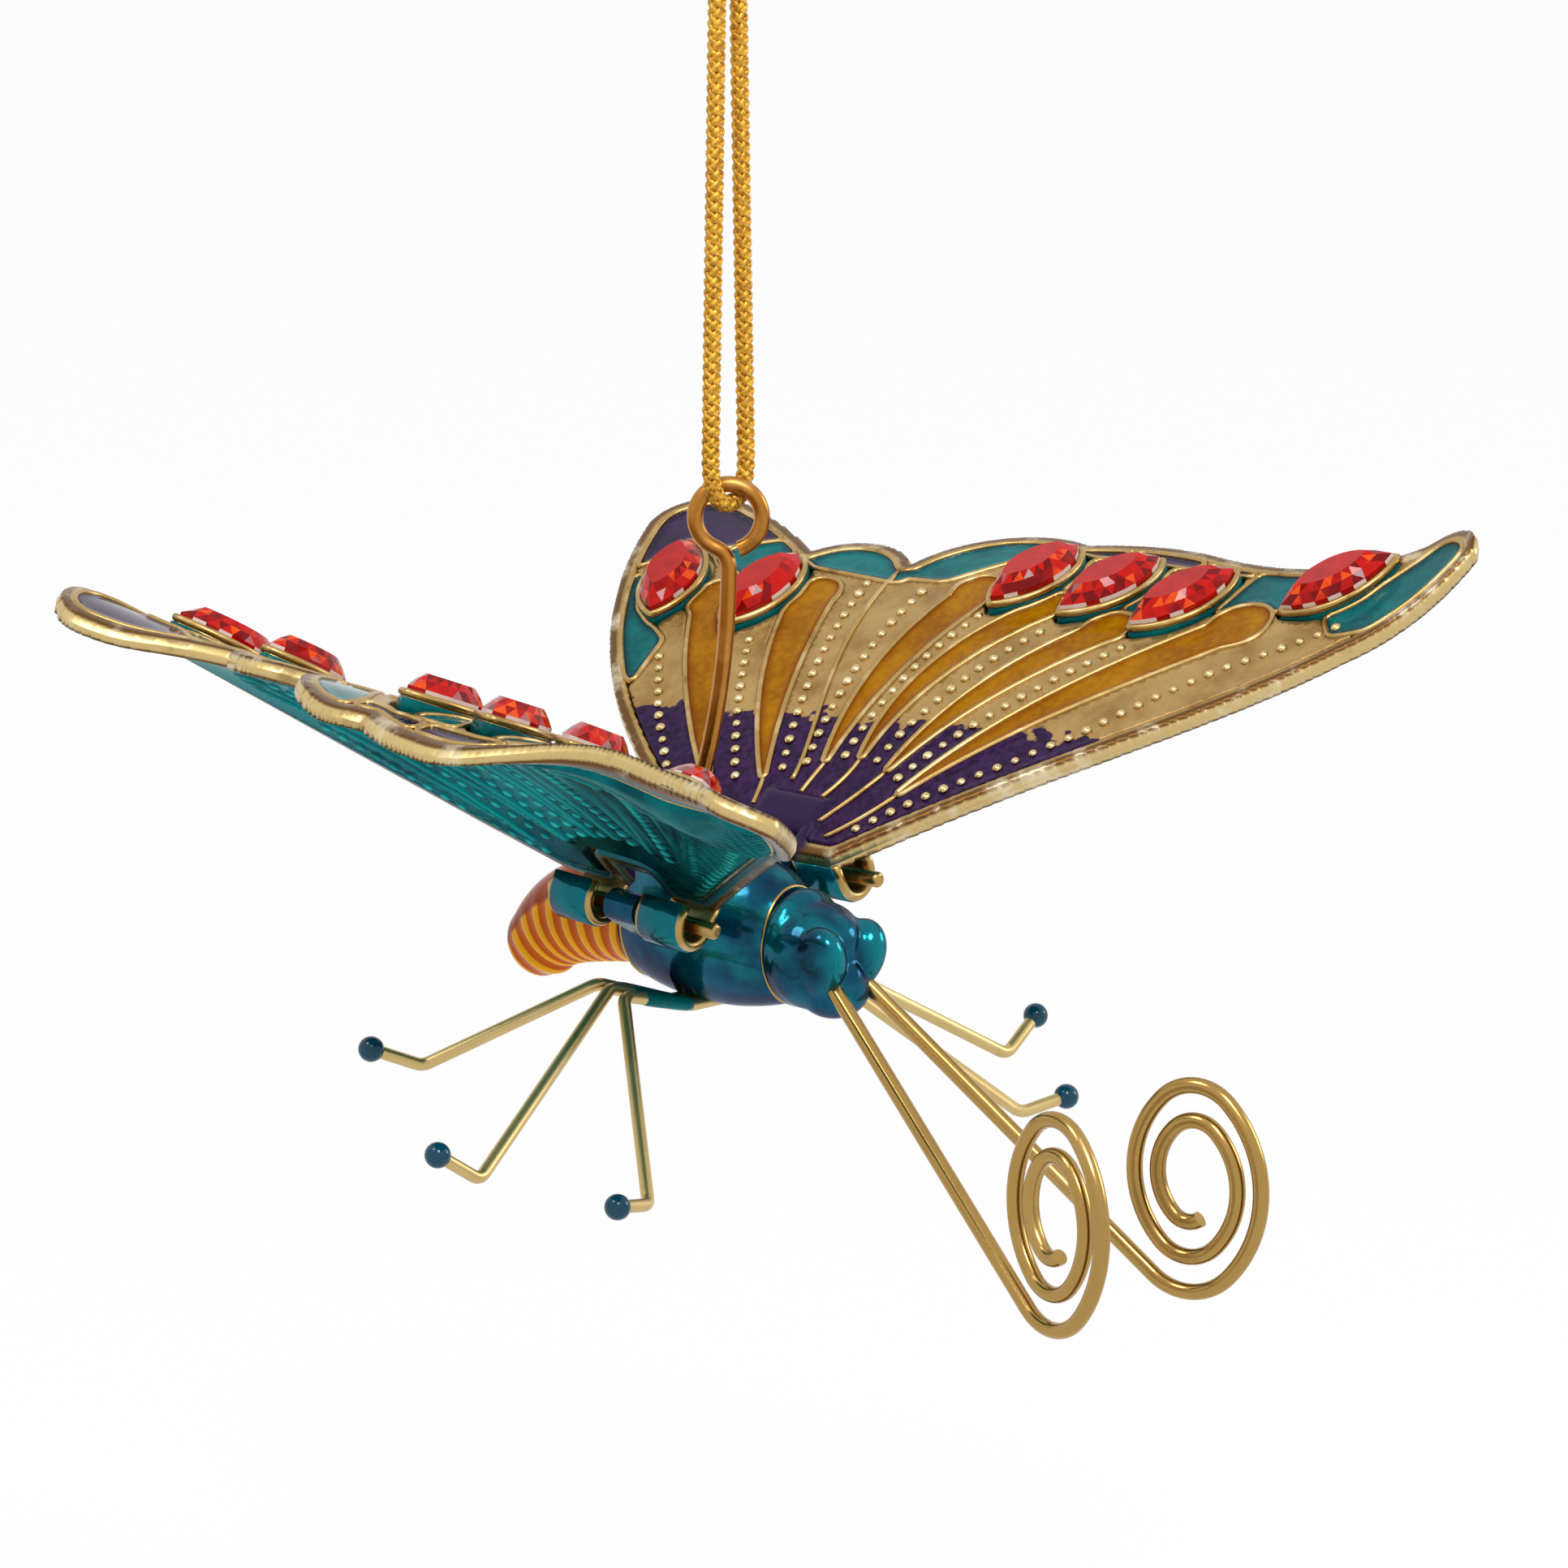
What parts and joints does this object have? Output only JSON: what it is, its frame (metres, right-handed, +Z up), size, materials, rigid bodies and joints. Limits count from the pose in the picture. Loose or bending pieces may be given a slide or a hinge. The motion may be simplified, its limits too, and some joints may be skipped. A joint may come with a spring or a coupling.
{
  "type": "butterfly ornament",
  "caption": "Hanging enamelled butterfly ornament with hinged wings, red stones, wire legs and spiral antennae on a gold cord.",
  "frame": {"origin": "top of the knot that the cord hangs by", "axes": "+Z up along the cord, -Y towards the butterfly's head, +X to its left wing"},
  "size_m": [0.0701, 0.0678, 0.0812],
  "materials": {
    "gold": "worn gold plating",
    "amber_enamel": "clear amber enamel",
    "teal_enamel": "clear teal enamel",
    "purple_enamel": "clear purple enamel",
    "lane_enamel": "clear champagne enamel, purple at the root",
    "back_enamel": "clear teal enamel over the cast ribs",
    "stone": "faceted red glass",
    "body_enamel": "clear teal-blue enamel",
    "abdomen_enamel": "orange enamel with yellow ribs",
    "foot_enamel": "dark teal-blue enamel bead",
    "cord": "metallic gold braid"
  },
  "bodies": {
    "body": {"abdomen": "abdomen_enamel", "cord_knot": "cord", "front_foot_left": "foot_enamel", "front_foot_right": "foot_enamel", "front_leg_wire": "gold", "hanger_eye": "gold", "hanging_cord": "cord", "head": "body_enamel", "left_antenna": "gold", "left_hinge_rod": "gold", "middle_foot_left": "foot_enamel", "middle_foot_right": "foot_enamel", "middle_leg_wire": "gold", "rear_foot_left": "foot_enamel", "rear_foot_right": "foot_enamel", "rear_leg_wire": "gold", "right_antenna": "gold", "right_hinge_rod": "gold", "thorax": "body_enamel"},
    "left_wing": {"left_stone_fore_front": "stone", "left_stone_fore_middle": "stone", "left_stone_fore_rear": "stone", "left_stone_hind_inner": "stone", "left_stone_hind_outer": "stone", "left_stone_tip": "stone", "left_wing_amber_enamel": "amber_enamel", "left_wing_back_enamel": "back_enamel", "left_wing_lane_enamel": "lane_enamel", "left_wing_plate": "gold", "left_wing_purple_enamel": "purple_enamel", "left_wing_teal_enamel": "teal_enamel"},
    "right_wing": {"right_stone_fore_front": "stone", "right_stone_fore_middle": "stone", "right_stone_fore_rear": "stone", "right_stone_hind_inner": "stone", "right_stone_hind_outer": "stone", "right_stone_tip": "stone", "right_wing_amber_enamel": "amber_enamel", "right_wing_back_enamel": "back_enamel", "right_wing_lane_enamel": "lane_enamel", "right_wing_plate": "gold", "right_wing_purple_enamel": "purple_enamel", "right_wing_teal_enamel": "teal_enamel"}
  },
  "joints": [
    {"name": "left_wing_hinge", "type": "hinge", "parent": "body", "child": "left_wing", "pos_m": [0.0074, -0.0039, -0.05905], "axis": [0, -0.9998, -0.0175], "range_deg": [0, 40]},
    {"name": "right_wing_hinge", "type": "hinge", "parent": "body", "child": "right_wing", "pos_m": [-0.0074, -0.0039, -0.06005], "axis": [0, 0.9971, 0.0767], "range_deg": [0, 40]}
  ]
}
